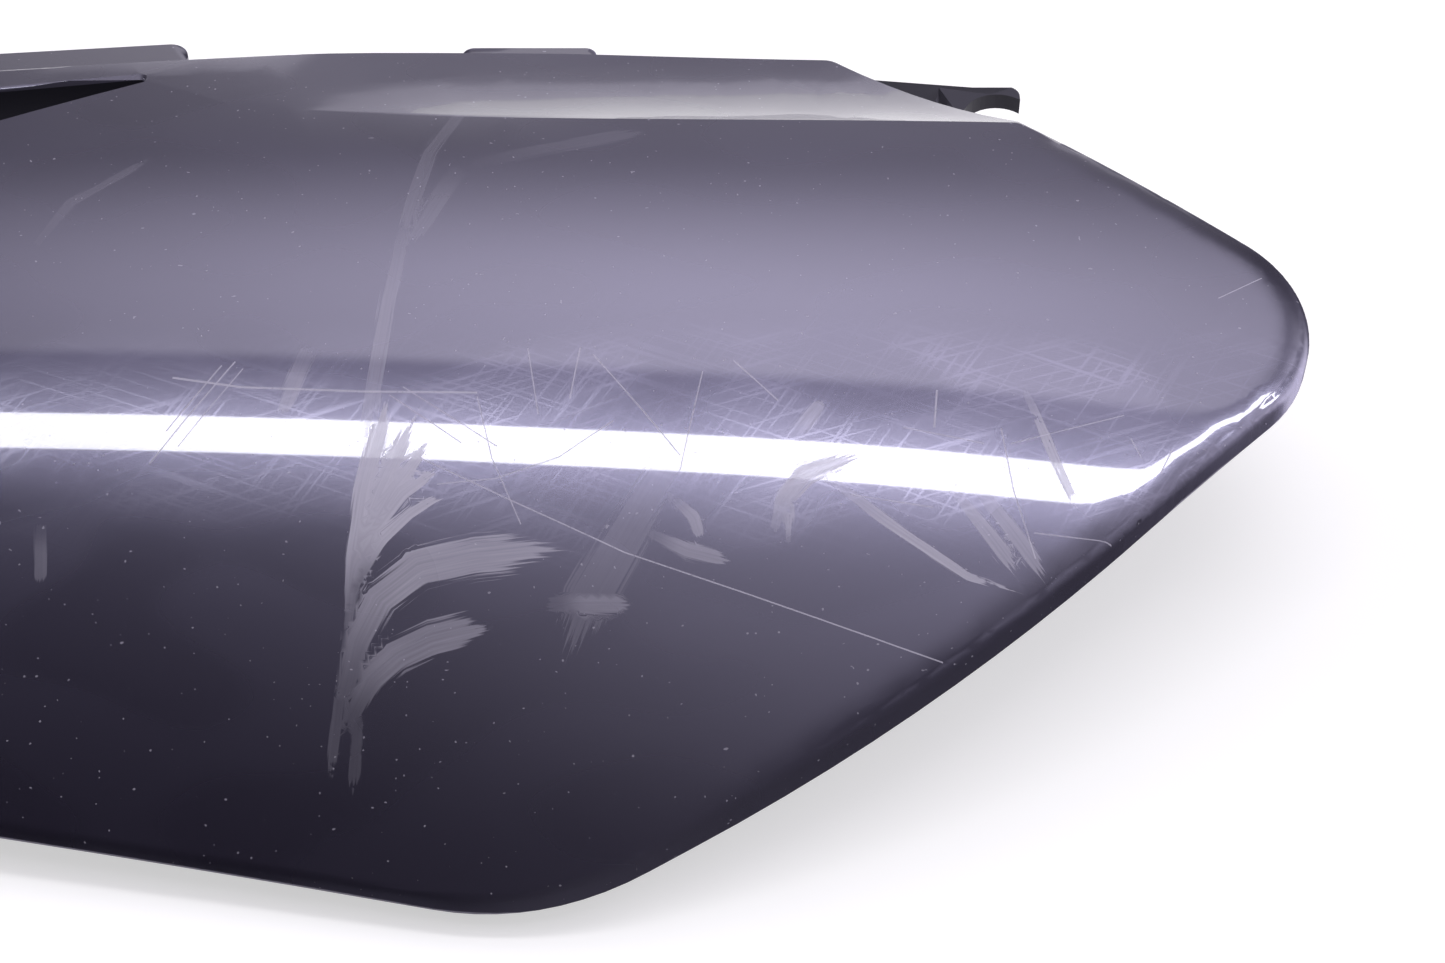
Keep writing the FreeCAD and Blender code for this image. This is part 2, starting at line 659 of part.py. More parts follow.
def peg(name):
    """The peg's pin and shoulder, and the core and cross that carry it up to the crown."""
    x, y = PLACES[name]
    pin = cylinder(name + "_pin", x, y, "sizes.pin_radius", "0", "sizes.pin_length")
    foot = [i + 1 for i, e in enumerate(pin.Shape.Edges) if e.BoundBox.ZMax < value("sizes.pin_bevel")]
    tipped_pin = bevelled(name + "_tip", pin, foot, value("sizes.pin_bevel"))
    shoulder = cylinder(
        name + "_shoulder", x, y, "sizes.shoulder_radius", "sizes.pin_length", "sizes.shoulder_thick",
    )
    rise = STOCK_TOP + " - sizes.pin_length"
    middle = cylinder(name + "_core", x, y, "sizes.core_radius", "sizes.pin_length", rise)
    taper = doc.addObject("Part::Cone", name + "_taper")
    taper.setExpression("Placement.Base.x", x)
    taper.setExpression("Placement.Base.y", y)
    taper.setExpression("Placement.Base.z", "sizes.pin_length")
    taper.setExpression("Radius1", "sizes.shoulder_radius")
    taper.setExpression("Radius2", "sizes.shoulder_radius + (%s) * sizes.cross_spread" % rise)
    taper.setExpression("Height", rise)
    reach = STOCK_TOP
    along = box(
        name + "_along", "%s - %s" % (x, reach), y + " - sizes.cross_thick / 2", "sizes.pin_length",
        "2 * " + reach, "sizes.cross_thick", rise,
    )
    over = box(
        name + "_over", x + " - sizes.cross_thick / 2", "%s - %s" % (y, reach), "sizes.pin_length",
        "sizes.cross_thick", "2 * " + reach, rise,
    )
    cross = joined(name + "_cross", [along, over])
    webs = boolean("Common", name + "_webs", cross, taper)
    return joined(name, [tipped_pin, shoulder, middle, webs])


def rib(start, end):
    """A thin wall on edge from one place to another, as tall as the stock."""
    solid = doc.addObject("Part::Box", "rib_%s_%s" % (start, end))
    (start_x, start_y), (end_x, end_y) = PLACES[start], PLACES[end]
    run_x, run_y = "(%s - (%s))" % (end_x, start_x), "(%s - (%s))" % (end_y, start_y)
    angle = "atan2(%s; %s)" % (run_y, run_x)
    solid.setExpression("Placement.Rotation.Angle", angle)
    solid.setExpression("Placement.Base.x", "%s + sizes.rib_thick / 2 * sin(%s)" % (start_x, angle))
    solid.setExpression("Placement.Base.y", "%s - sizes.rib_thick / 2 * cos(%s)" % (start_y, angle))
    solid.setExpression("Length", "hypot(%s; %s)" % (run_x, run_y))
    solid.setExpression("Width", "sizes.rib_thick")
    solid.setExpression("Height", STOCK_TOP)
    doc.recompute()
    return solid


rib_walls = joined("rib_walls", [rib(*ends) for ends in RIBS])
rib_foot = moved("rib_foot", hollow, z="-sizes.rib_depth")
ribs = boolean("Cut", "ribs", rib_walls, rib_foot)
fittings = joined("fittings", [peg(name) for name in PEGS] + ear_webs + [ribs])
trimmed = boolean("Common", "trimmed", fittings, middle_wall)

# The moulding, and the bore for its screw
boss = cylinder(
    "boss", screw_x, screw_y, "sizes.boss_radius", seat_floor + " - sizes.boss_thick", "sizes.boss_thick",
)
moulding = joined("moulding", [shell, tongue, tab, ear, boss, trimmed])
screw_bore = cylinder("screw_bore", screw_x, screw_y, "sizes.screw_radius", "0", STOCK_TOP)
screw_space = joined("screw_space", [seat_space, screw_bore])
panel = boolean("Cut", "panel", moulding, screw_space)
panel.Label = "side_panel"
doc.recompute()

for thing in doc.Objects:
    bad = [word for word in thing.State if word in ("Invalid", "Error")]
    if bad:
        raise RuntimeError("%s failed: %s" % (thing.Name, bad))
shape = panel.Shape
if shape.isNull() or not shape.isValid() or len(shape.Solids) != 1:
    raise RuntimeError("the panel isn't one valid solid: %d" % len(shape.Solids))
print("volume", round(shape.Volume), "faces", len(shape.Faces))
os.makedirs("parts", exist_ok=True)
shape.exportStep("parts/side_panel.step")
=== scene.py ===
import math

import bmesh
import bpy
import numpy as np
from mathutils import Euler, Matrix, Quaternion, Vector


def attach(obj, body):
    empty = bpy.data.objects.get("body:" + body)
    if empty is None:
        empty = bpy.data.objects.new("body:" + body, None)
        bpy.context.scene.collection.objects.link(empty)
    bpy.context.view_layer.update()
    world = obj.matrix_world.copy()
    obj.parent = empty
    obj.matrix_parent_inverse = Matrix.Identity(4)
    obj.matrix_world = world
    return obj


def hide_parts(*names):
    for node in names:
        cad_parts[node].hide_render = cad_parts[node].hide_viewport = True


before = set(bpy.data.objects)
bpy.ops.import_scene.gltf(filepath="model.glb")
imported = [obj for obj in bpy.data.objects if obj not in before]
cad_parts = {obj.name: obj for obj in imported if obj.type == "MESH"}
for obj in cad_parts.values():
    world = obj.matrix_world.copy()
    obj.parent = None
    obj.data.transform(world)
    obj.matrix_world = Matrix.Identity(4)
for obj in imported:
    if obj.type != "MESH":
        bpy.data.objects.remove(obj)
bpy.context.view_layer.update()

# Camera: a long lens that looks down on the panel from its near side
MM = 0.001
LENS = 70.0
CAMERA_ELEVATION = math.radians(50.0)
CAMERA_DISTANCE = 630.0 * MM
CAMERA_TARGET = Vector((80.5, -33.3, 42.0)) * MM

scene = bpy.context.scene
scene.view_settings.view_transform = "Standard"
camera_data = bpy.data.cameras.new("camera")
camera_data.lens = LENS
camera_data.clip_start = 10.0 * MM
camera = bpy.data.objects.new("camera", camera_data)
back = Vector((0.0, -math.cos(CAMERA_ELEVATION), math.sin(CAMERA_ELEVATION)))
camera.location = CAMERA_TARGET + CAMERA_DISTANCE * back
camera.rotation_euler = Euler((math.pi / 2 - CAMERA_ELEVATION, 0.0, 0.0))
scene.collection.objects.link(camera)
scene.camera = camera

# Strip lamp: a long tube high over the far side of the table
# Its mirror image is the bright band along the panel
STRIP_HEIGHT = math.radians(72.9)
STRIP_DISTANCE = 2.6
STRIP_EAST = 0.4
STRIP_TURN = math.radians(-1.5)
STRIP_SIZE = (2.8, 0.215)
STRIP_RADIANCE = 14.0
STRIP_COLOUR = (0.95, 0.96, 1.0)

strip_data = bpy.data.lights.new("strip_lamp", "AREA")
strip_data.shape = "RECTANGLE"
strip_data.size, strip_data.size_y = STRIP_SIZE
strip_data.color = STRIP_COLOUR
strip_data.energy = STRIP_RADIANCE * math.pi * STRIP_SIZE[0] * STRIP_SIZE[1]
strip = bpy.data.objects.new("strip_lamp", strip_data)
overhead = STRIP_DISTANCE * Vector((0.0, math.cos(STRIP_HEIGHT), math.sin(STRIP_HEIGHT)))
strip.location = overhead + Vector((STRIP_EAST, 0.0, 0.0))
facing = (-overhead).to_track_quat("-Z", "Y")
strip.rotation_euler = (facing @ Quaternion((0.0, 0.0, 1.0), STRIP_TURN)).to_euler()
strip.visible_camera = False
scene.collection.objects.link(strip)

# Room: white to the camera, and to the panel a studio that is darker between its white cards
# A height is in degrees from the far horizon, up over the table and down to the near one
SKYLINE = (7.0, 11.0)
SKYLINE_GLOW = (1.0, 0.56)
CARD = (27.0, 53.0)
CARD_GLOW = 2.35
CARD_END = (60.5, 62.5)
CARD_SLANT = 3.0
CARD_MIDDLE = 0.03
CARD_FALL = 5.0
CARD_LEAST = 0.25
CEILING = (62.0, 76.0)
CEILING_GLOW = (0.30, 0.85)
CEILING_END = (84.0, 120.0)
CEILING_END_SHARE = 0.2
CEILING_SIDE = (-0.36, 0.02)
CEILING_SIDE_SHARE = (0.05, 1.1)
WALL = (35.0, 50.0)
WALL_END = (80.0, 95.0)
WALL_SIDE = (0.45, 0.75)
WALL_GLOW = 3.2
ROOM_COLOUR = (0.90, 0.86, 1.0, 1.0)
WHITE = (1.0, 1.0, 1.0, 1.0)


class Shader:
    """The nodes of a material or of the room, added one by one."""

    def __init__(self, owner):
        owner.use_nodes = True
        self.tree = owner.node_tree
        self.tree.nodes.clear()

    def fill(self, slot, value):
        if isinstance(value, Value):
            value = value.socket
        if isinstance(value, bpy.types.NodeSocket):
            self.tree.links.new(value, slot)
        else:
            slot.default_value = value

    def add(self, kind, settings=None, **inputs):
        node = self.tree.nodes.new(kind)
        for name, value in (settings or {}).items():
            setattr(node, name, value)
        for name, value in inputs.items():
            self.fill(node.inputs[name.replace("_", " ")], value)
        return node

    def mix(self, share, under, over):
        """One finish over another, which shows by its share."""
        node = self.add("ShaderNodeMixShader", Fac=share)
        self.fill(node.inputs[1], under.outputs[0])
        self.fill(node.inputs[2], over.outputs[0])
        return node


class Value:
    """A number in a shader: Python's operators add its Math nodes."""

    def __init__(self, shader, socket):
        self.shader = shader
        self.socket = socket

    def math(self, operation, *others):
        node = self.shader.add("ShaderNodeMath", {"operation": operation})
        for slot, value in zip(node.inputs, (self, *others)):
            self.shader.fill(slot, value)
        return Value(self.shader, node.outputs[0])

    def __add__(self, other):
        return self.math("ADD", other)

    __radd__ = __add__

    def __mul__(self, other):
        return self.math("MULTIPLY", other)

    __rmul__ = __mul__

    def __sub__(self, other):
        return self.math("SUBTRACT", other)

    def __rsub__(self, other):
        return (self * -1.0) + other

    def step(self, low, high, start=0.0, end=1.0):
        """A smooth step from start to end as the number goes from low to high."""
        node = self.shader.add(
            "ShaderNodeMapRange", {"interpolation_type": "SMOOTHSTEP"},
            Value=self, From_Min=low, From_Max=high, To_Min=start, To_Max=end,
        )
        return Value(self.shader, node.outputs[0])


world = bpy.data.worlds.new("room")
scene.world = world
room = Shader(world)
direction = room.add("ShaderNodeTexCoord").outputs["Generated"]
parts = room.add("ShaderNodeSeparateXYZ", Vector=direction).outputs
east, away, up = (Value(room, part) for part in parts)
height = up.math("ARCTAN2", away) * math.degrees(1.0)

middle = east - CARD_MIDDLE
card_side = (1.0 - CARD_FALL * (middle * middle)).math("MAXIMUM", CARD_LEAST)
card = (height.step(*SKYLINE, *SKYLINE_GLOW) + height.step(*CARD, 0.0, CARD_GLOW)) * card_side
card_share = (height - CARD_SLANT * east).step(*CARD_END, 1.0, 0.0)
ceiling = height.step(*CEILING, *CEILING_GLOW) * height.step(*CEILING_END, 1.0, CEILING_END_SHARE)
ceiling = ceiling * east.step(*CEILING_SIDE, *CEILING_SIDE_SHARE)
walls = height.step(*WALL) * height.step(*WALL_END, 1.0, 0.0)
walls = walls * east.math("ABSOLUTE").step(*WALL_SIDE, 0.0, WALL_GLOW)
glow = card * card_share + ceiling * (1.0 - card_share) + walls
studio = room.add("ShaderNodeBackground", Color=ROOM_COLOUR, Strength=glow)
white = room.add("ShaderNodeBackground", Color=WHITE, Strength=1.0)
to_camera = room.add("ShaderNodeLightPath").outputs["Is Camera Ray"]
seen = room.mix(to_camera, studio, white)
room.add("ShaderNodeOutputWorld", Surface=seen.outputs[0])

# Table: white paper that keeps the panel's shadow
# To the camera and in the panel's gloss the shadow is paler than the light alone would make it
TABLE_SIZE = 12.0
PAPER = (0.9, 0.9, 0.9, 1.0)
SHADED_PAPER = (0.55, 0.54, 0.53, 1.0)
PAPER_LIFT = 0.55

bpy.ops.mesh.primitive_plane_add(size=TABLE_SIZE)
table = bpy.context.object
table.name = "table"
top = bpy.data.materials.new("white_table")
paper = Shader(top)
path = paper.add("ShaderNodeLightPath").outputs
mirrored = Value(paper, path["Is Camera Ray"]).math("MAXIMUM", Value(paper, path["Is Glossy Ray"]))
plain = paper.add("ShaderNodeBsdfDiffuse", Color=PAPER)
shaded = paper.add("ShaderNodeBsdfDiffuse", Color=SHADED_PAPER)
lift = paper.add("ShaderNodeEmission", Color=WHITE, Strength=PAPER_LIFT)
lifted = paper.add("ShaderNodeAddShader")
paper.fill(lifted.inputs[0], shaded.outputs[0])
paper.fill(lifted.inputs[1], lift.outputs[0])
seen = paper.mix(mirrored, plain, lifted)
paper.add("ShaderNodeOutputMaterial", Surface=seen.outputs[0])
table.data.materials.append(top)

# Panel: one injection moulding of gloss black plastic, clipped on by three pins and a screw
# It keeps the shape of its solid. The flats that stand for its crowned face and its ledge are
# cut into a fine grid, whose corners take the normals of the smooth faces that they stand for
MERGE = 0.001 * MM
FACE_UP = 0.7
FACE_BEND = math.radians(6.0)
LEDGE_X = (-85.0 * MM, 172.0 * MM)
LEDGE_Y = (77.6 * MM, 124.0 * MM)
LEDGE_LOW = 28.3 * MM
LEDGE_LEVEL = 0.9995
PLAIN, CROWN, LEDGE = range(3)

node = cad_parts["side_panel"]
shell = bmesh.new()
shell.from_mesh(node.data)
bmesh.ops.remove_doubles(shell, verts=shell.verts, dist=MERGE)
region = shell.faces.layers.int.new("region")


def off_ledge(face):
    """Whether a face lies clear of the ledge and of what stands beyond it."""
    x, y, z = face.calc_center_median()
    return y < LEDGE_Y[0] or x < LEDGE_X[0]


def beside(face):
    """The faces that share an edge with a face, and how sharply each bends from it."""
    for edge in face.edges:
        for other in edge.link_faces:
            yield other, other.normal.angle(face.normal, math.pi)


# The crown spreads from its top over every gentle bend, and then into the corners it has left
# The ledge is what slopes beyond it, where the ear's top is level
upward = [face for face in shell.faces if face.normal.z > FACE_UP]
found = [max(upward, key=lambda face: face.calc_center_median().z)]
while found:
    face = found.pop()
    face[region] = CROWN
    for other, bend in beside(face):
        if not other[region] and bend < FACE_BEND and off_ledge(other):
            other[region] = CROWN
            found.append(other)
for face in upward:
    x, y, z = face.calc_center_median()
    in_box = LEDGE_X[0] < x < LEDGE_X[1] and LEDGE_Y[0] < y < LEDGE_Y[1] and z > LEDGE_LOW
    enclosed = all(any(other[region] == CROWN for other in vert.link_faces) for vert in face.verts)
    if enclosed and off_ledge(face):
        face[region] = CROWN
    elif in_box and face.normal.z < LEDGE_LEVEL:
        face[region] = LEDGE

# One smooth sheet runs through points of the crown that stand well apart
SHEET_GAP = 4.0 * MM
SHEET_NEAREST = 60
SHEET_SPAN = (0.22, 0.13)
SHEET_POWERS = (8, 6)
SHEET_MISS = 0.1 * MM
SHEET_ROUNDS = 3
SHEET_STEP = 0.5 * MM


def powers(x, y):
    """Every power of x with every power of y, which the sheet's height is a sum of."""
    return np.stack([
        (x / SHEET_SPAN[0])**i * (y / SHEET_SPAN[1])**j
        for i in range(SHEET_POWERS[0] + 1) for j in range(SHEET_POWERS[1] + 1)
    ], axis=-1)


crown_verts = {vert for face in upward if face[region] == CROWN for vert in face.verts}
spread = []
for vert in sorted(crown_verts, key=lambda vert: tuple(vert.co)):
    if all((vert.co - other).length > SHEET_GAP for other in spread[-SHEET_NEAREST:]):
        spread.append(vert.co.copy())
spread = np.array(spread)
for _ in range(SHEET_ROUNDS):
    terms = powers(spread[:, 0], spread[:, 1])
    sheet = np.linalg.lstsq(terms, spread[:, 2], rcond=1e-12)[0]
    spread = spread[np.abs(terms @ sheet - spread[:, 2]) < SHEET_MISS]

# The grid, and the line where the crown meets the rim
GRID = 2.1 * MM
GRID_ROUNDS = 5
RIM_Y = 70.0 * MM
SHARP = math.radians(28.0)

for _ in range(GRID_ROUNDS):
    edges = {edge for face in shell.faces if face[region] for edge in face.edges}
    long = [edge for edge in edges if edge.calc_length() > GRID]
    bmesh.ops.subdivide_edges(shell, edges=long, cuts=1, use_grid_fill=True)
rim = np.array([
    [vert.co for vert in edge.verts] for edge in shell.edges
    if {face[region] for face in edge.link_faces} == {CROWN, PLAIN} and edge.verts[0].co.y < RIM_Y
])
mesh = bpy.data.meshes.new("panel")
shell.to_mesh(mesh)
shell.free()
panel = bpy.data.objects.new("panel", mesh)
scene.collection.objects.link(panel)
mesh.shade_smooth()
mesh.set_sharp_from_angle(angle=SHARP)


def read(items, name, width=1, kind=float):
    """One property of every item of the mesh, as an array."""
    values = np.empty(len(items) * width, kind)
    items.foreach_get(name, values)
    return values.reshape(-1, width) if width > 1 else values


places = read(mesh.vertices, "co", 3)
edges = read(mesh.edges, "vertices", 2, np.int32)
corner_vert = read(mesh.loops, "vertex_index", kind=np.int32)
corners_each = read(mesh.polygons, "loop_total", kind=np.int32)
corner_face = np.repeat(np.arange(len(mesh.polygons)), corners_each)
corner_normal = read(mesh.corner_normals, "vector", 3)
face_region = read(mesh.attributes["region"].data, "value", kind=np.int32)
face_middle = read(mesh.polygons, "center", 3)
face_normal = read(mesh.polygons, "normal", 3)
face_area = read(mesh.polygons, "area")
corner_region = face_region[corner_face]


def share(value, low, high):
    """How far a value is from low to high, smoothly from 0 to 1."""
    part = np.clip((value - low) / (high - low), 0.0, 1.0)
    return part * part * (3.0 - 2.0 * part)


def unit(vectors):
    """The vectors with their directions kept and their lengths made 1."""
    return vectors / np.maximum(np.linalg.norm(vectors, axis=-1, keepdims=True), 1e-9)


def touched(kind):
    """Which points of the mesh a kind of face touches."""
    found = np.zeros(len(places), bool)
    found[corner_vert[corner_region == kind]] = True
    return found


def smoothed(vectors, inside, rounds):
    """The vectors, each drawn to the mean of its neighbours inside again and again."""
    pairs = edges[inside[edges].all(axis=1)]
    count = np.bincount(pairs.ravel(), minlength=len(places))[:, None]
    for _ in range(rounds):
        total = np.zeros_like(vectors)
        np.add.at(total, pairs[:, 0], vectors[pairs[:, 1]])
        np.add.at(total, pairs[:, 1], vectors[pairs[:, 0]])
        vectors = np.where(count > 0, (vectors + total / np.maximum(count, 1)) / 2.0, vectors)
    return vectors


on_crown, on_ledge = touched(CROWN), touched(LEDGE)
x, y = places[:, 0], places[:, 1]
east_slope = (powers(x + SHEET_STEP, y) - powers(x - SHEET_STEP, y)) @ sheet / (2.0 * SHEET_STEP)
far_slope = (powers(x, y + SHEET_STEP) - powers(x, y - SHEET_STEP)) @ sheet / (2.0 * SHEET_STEP)
crown_normal = unit(np.stack([-east_slope, -far_slope, np.ones_like(x)], axis=-1))

# Towards the nose the crown rolls down over its last few millimetres before the rim
ROLL_X = (60.0 * MM, 130.0 * MM)
ROLL_REACH = 6.5 * MM
ROLL_TURN = math.radians(17.0)
ROLL_POWER = 2.2
ROLL_ROUNDS = 3
OUTWARD_ROUNDS = 60

rim_distance = np.full(len(places), np.inf)
outward = np.zeros_like(places)
for start, end in rim[..., :2]:
    along = end - start
    part = np.clip((places[:, :2] - start) @ along / (along @ along), 0.0, 1.0)
    distance = np.linalg.norm(places[:, :2] - start - part[:, None] * along, axis=1)
    closer = distance < rim_distance
    rim_distance[closer] = distance[closer]
    across = np.array([along[1], -along[0]])
    outward[closer, :2] = unit(across * np.sign(across @ start))
outward = unit(smoothed(outward, on_crown, OUTWARD_ROUNDS))
closeness = np.clip(1.0 - rim_distance / ROLL_REACH, 0.0, 1.0)
roll = ROLL_TURN * closeness**ROLL_POWER * share(x, *ROLL_X)
roll = outward * (roll * on_crown)[:, None]
crown_normal = unit(crown_normal + smoothed(roll, on_crown, ROLL_ROUNDS))

# The ledge has its own normals, which fade into the crown's where the crease runs out
LEDGE_ROUNDS = 48
FADE_X = (10.0 * MM, 62.0 * MM)
FADE_Y = (55.0 * MM, 74.0 * MM)
FADE_ROUNDS = 320

ledge_normal = np.zeros_like(places)
corners = corner_region == LEDGE
faces = corner_face[corners]
np.add.at(ledge_normal, corner_vert[corners], face_normal[faces] * face_area[faces, None])
ledge_normal = smoothed(unit(ledge_normal), on_ledge, LEDGE_ROUNDS)
both = crown_normal * on_crown[:, None] + ledge_normal * on_ledge[:, None]
both /= np.maximum(on_crown.astype(float) + on_ledge, 1.0)[:, None]
both = smoothed(both, on_crown | on_ledge, FADE_ROUNDS)
fade = ((1.0 - share(x, *FADE_X)) * share(y, *FADE_Y))[:, None]
crown_normal += (both - crown_normal) * fade
ledge_normal += (both - ledge_normal) * fade

# The rim turns down round the whole outline, and its wall reads as one dark roll
RIM_WIDTH = 6.0 * MM
RIM_TURN = 0.42
RIM_FACING = 0.3
RIM_LOWEST = -0.2

for own, touches, kind in ((crown_normal, on_crown, CROWN), (ledge_normal, on_ledge, LEDGE)):
    smooth = unit(own[corner_vert])
    level = (smooth * corner_normal).sum(-1) > math.cos(SHARP)
    takes = (corner_region == kind) | ((corner_region == PLAIN) & touches[corner_vert] & level)
    corner_normal[takes] = smooth[takes]
near_rim = (rim_distance < RIM_WIDTH) & (y < RIM_Y)
facing = (corner_normal * outward[corner_vert]).sum(-1) > RIM_FACING
wall = (corner_region == PLAIN) & near_rim[corner_vert] & facing
wall &= corner_normal[:, 2] > RIM_LOWEST
above = crown_normal[corner_vert][wall]
corner_normal[wall] = unit(above + (corner_normal[wall] - above) * RIM_TURN)
mesh.normals_split_custom_set(corner_normal)
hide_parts("side_panel")
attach(panel, "root")

# Smears: each has its strength, and the points that it runs through with its width there, in mm
SMEARS = (
    (0.11, ((19, 92, 3), (9, 64, 4), (4, 26, 5))),
    (0.30, ((5, 34, 3), (3, 14, 4), (1.5, -10, 4), (0.5, -24, 4), (0, -34, 3))),
    (0.12, ((0, -62, 3), (-2, -80, 3), (-4, -104, 3))),
    (0.10, ((2, -84, 2), (1, -104, 3))),
    (0.90, ((-1, -68, 2), (-0.6, -54, 3.5), (0.8, -38, 5), (3, -24, 5.5), (6, -9, 3))),
    (0.90, ((-1, -66, 2), (0.8, -50, 4), (4.5, -38, 5), (8, -28, 5), (13, -15, 3))),
    (0.90, ((-1, -64, 2), (2.2, -48, 4), (7, -38, 4.5), (11.5, -31, 4), (17, -22, 2.5))),
    (0.90, ((-0.5, -62, 2), (3.2, -48, 4), (9.5, -39, 4), (14.5, -35, 3), (21, -30, 2))),
    (0.90, ((0, -60, 2), (5.2, -50, 3), (11, -44, 3), (15.5, -41, 2.5), (22, -38, 2))),
    (0.62, (
        (-1, -82, 4), (1, -72, 6), (5.5, -63, 8.5), (14, -56.5, 9.5), (26, -54, 10),
        (38, -53, 9), (50, -53, 8),
    )),
    (0.42, (
        (0, -88, 3), (4, -80, 6), (10, -75, 8), (17, -72, 8.5), (24, -70.5, 7.5), (33, -69, 6),
    )),
    (0.20, ((-71, -45, 3), (-70, -59, 3))),
    (0.35, ((44, -65, 4), (62, -66, 5))),
    (0.14, ((73, -24, 6), (52, -63, 13), (46, -80, 15))),
    (0.50, ((70, -42, 2), (74, -46, 3), (76, -53, 2))),
    (0.45, ((65, -50, 2), (73, -54, 4), (84, -57, 3))),
    (0.80, ((92, -49, 2), (94, -42, 4), (99, -36, 6), (113, -30, 3))),
    (0.60, ((95, -52, 1.5), (96, -42, 2))),
    (0.40, ((97, -26, 5), (104, -16, 3))),
    (0.10, ((16, 56, 5), (6, 28, 5))),
    (0.07, ((21, 60, 4), (66, 74, 6))),
    (0.09, ((-82, 33, 2), (-76, 47, 3), (-56, 67, 3))),
    (0.55, ((131, -39, 2), (146, -61, 5))),
    (0.50, ((137, -39, 3), (152, -62, 5))),
    (0.80, ((104, -37, 2), (116, -47, 2.6), (134, -60, 2.2), (149, -65, 2))),
    (0.80, ((149, -14, 1.6), (154, -30, 2.4), (160, -47, 2))),
    (0.40, ((-15, -3, 5), (-20, -21, 3))),
)
NO_SMEAR = -2.0
TAIL = (0.7, 1.0)
TAIL_THINNING = 1.1
HEAD = (0.0, 0.4)
HEAD_LEAST = 0.25
MIDDLE_FIRST = 0.05

on_top = np.flatnonzero(on_crown | on_ledge)
spots = places[on_top, :2] / MM
cover = np.full(len(places), NO_SMEAR)
rank = np.full(len(places), NO_SMEAR)
grain = np.zeros_like(places)
for strength, line in SMEARS:
    run = 0.0
    total = sum(math.dist(start[:2], end[:2]) for start, end in zip(line, line[1:]))
    for start, end in zip(line, line[1:]):
        first, last = np.array(start[:2], float), np.array(end[:2], float)
        length = math.dist(first, last)
        reach = (last - first) / length
        along = (spots - first) @ reach
        part = np.clip(along / length, 0.0, 1.0)
        offset = spots - first - part[:, None] * (last - first)
        across = offset @ np.array([-reach[1], reach[0]])
        half = (start[2] + (end[2] - start[2]) * part) / 2.0
        travelled = (run + part * length) / total
        inside = 1.0 - np.linalg.norm(offset, axis=1) / half
        inside = np.maximum(inside - TAIL_THINNING * share(travelled, *TAIL), NO_SMEAR)
        stands = np.where(inside > 0.0, 1.0 + strength + MIDDLE_FIRST * inside, inside)
        most = stands > rank[on_top]
        taken = on_top[most]
        rank[taken] = stands[most]
        cover[taken] = inside[most]
        depth = strength * (HEAD_LEAST + (1.0 - HEAD_LEAST) * share(travelled, *HEAD))
        grain[taken] = np.stack([run + along, across, depth], axis=-1)[most]
        run += length

# Near the rim, how far each point is above the foot of the rim's wall, in millimetres
FAR_UP = 9.0
FOOT_REACH = 12.0 * MM

foot = np.full(len(places), FAR_UP)
close = np.flatnonzero(near_rim & ~on_crown)
gaps = np.linalg.norm(places[close, None, :2] - places[None, close, :2], axis=-1)
lowest = np.where(gaps < FOOT_REACH, places[None, close, 2], np.inf).min(axis=1)
foot[close] = (places[close, 2] - lowest) / MM
mesh.attributes.new("cover", "FLOAT", "POINT").data.foreach_set("value", cover)
mesh.attributes.new("foot", "FLOAT", "POINT").data.foreach_set("value", foot)
mesh.attributes.new("grain", "FLOAT_VECTOR", "POINT").data.foreach_set("vector", grain.ravel())

# Gloss: black plastic from a polished mould, with dust rubbed into its smears and scratches
plastic = bpy.data.materials.new("gloss_black_plastic")
gloss = Shader(plastic)
spot = gloss.add("ShaderNodeTexCoord").outputs["Object"]


def noise(shader, place, scale=1.0, detail=0.0, kind="2D"):
    """A noise over a place, as a number."""
    node = shader.add(
        "ShaderNodeTexNoise", {"noise_dimensions": kind}, Vector=place, Scale=scale, Detail=detail,
    )
    return Value(shader, node.outputs["Fac"])


def lines(angle, length, width):
    """Noise drawn out along one direction, with its length and width in millimetres."""
    place = gloss.add(
        "ShaderNodeMapping", {"vector_type": "TEXTURE"},
        Vector=spot, Rotation=(0.0, 0.0, math.radians(angle)), Scale=(length * MM, width * MM, 1.0),
    )
    return noise(gloss, place.outputs[0])


def stored(name):
    """A number that the mesh keeps at each of its points."""
    return Value(gloss, gloss.add("ShaderNodeAttribute", {"attribute_name": name}).outputs["Fac"])


# Dust: the smears break up into streaks that run along them
COMB = (0.05, 1.6, 0.0)
STREAK_DETAIL = 2.0
STREAK_BREAK = 1.3
DUST_EDGE = (0.0, 0.3)
DUST_SHADE = (1.25, 0.6)

grain = gloss.add("ShaderNodeAttribute", {"attribute_name": "grain"}).outputs["Vector"]
combed = gloss.add("ShaderNodeMapping", Vector=grain, Scale=COMB).outputs[0]
streak = noise(gloss, combed, detail=STREAK_DETAIL)
strength = Value(gloss, gloss.add("ShaderNodeSeparateXYZ", Vector=grain).outputs["Z"])
thick, thinned = DUST_SHADE
dusty = (stored("cover") + (0.5 - streak) * STREAK_BREAK).step(*DUST_EDGE)
dust = dusty * strength * (thick - streak * thinned)

# Haze: fine lines that cross in clouds along the crown's worn stretch, and hardly show elsewhere
FINE_LINES = ((57.0, 26.0, 0.75), (18.0, 34.0, 0.7), (-21.0, 44.0, 0.7))
LINE_EDGE = (0.60, 0.80)
CLOUD = (0.0, 40.0, 22.0)
CLOUD_EDGE = (0.35, 0.6)
CLOUD_LEAST = 0.3
WORN_FROM = (-66.0 * MM, -35.0 * MM)
WORN_TO = (-12.0 * MM, 8.0 * MM)
WORN_LEAST = 0.08
HAZE_LINES = 0.09
HAZE_EVEN = 0.06

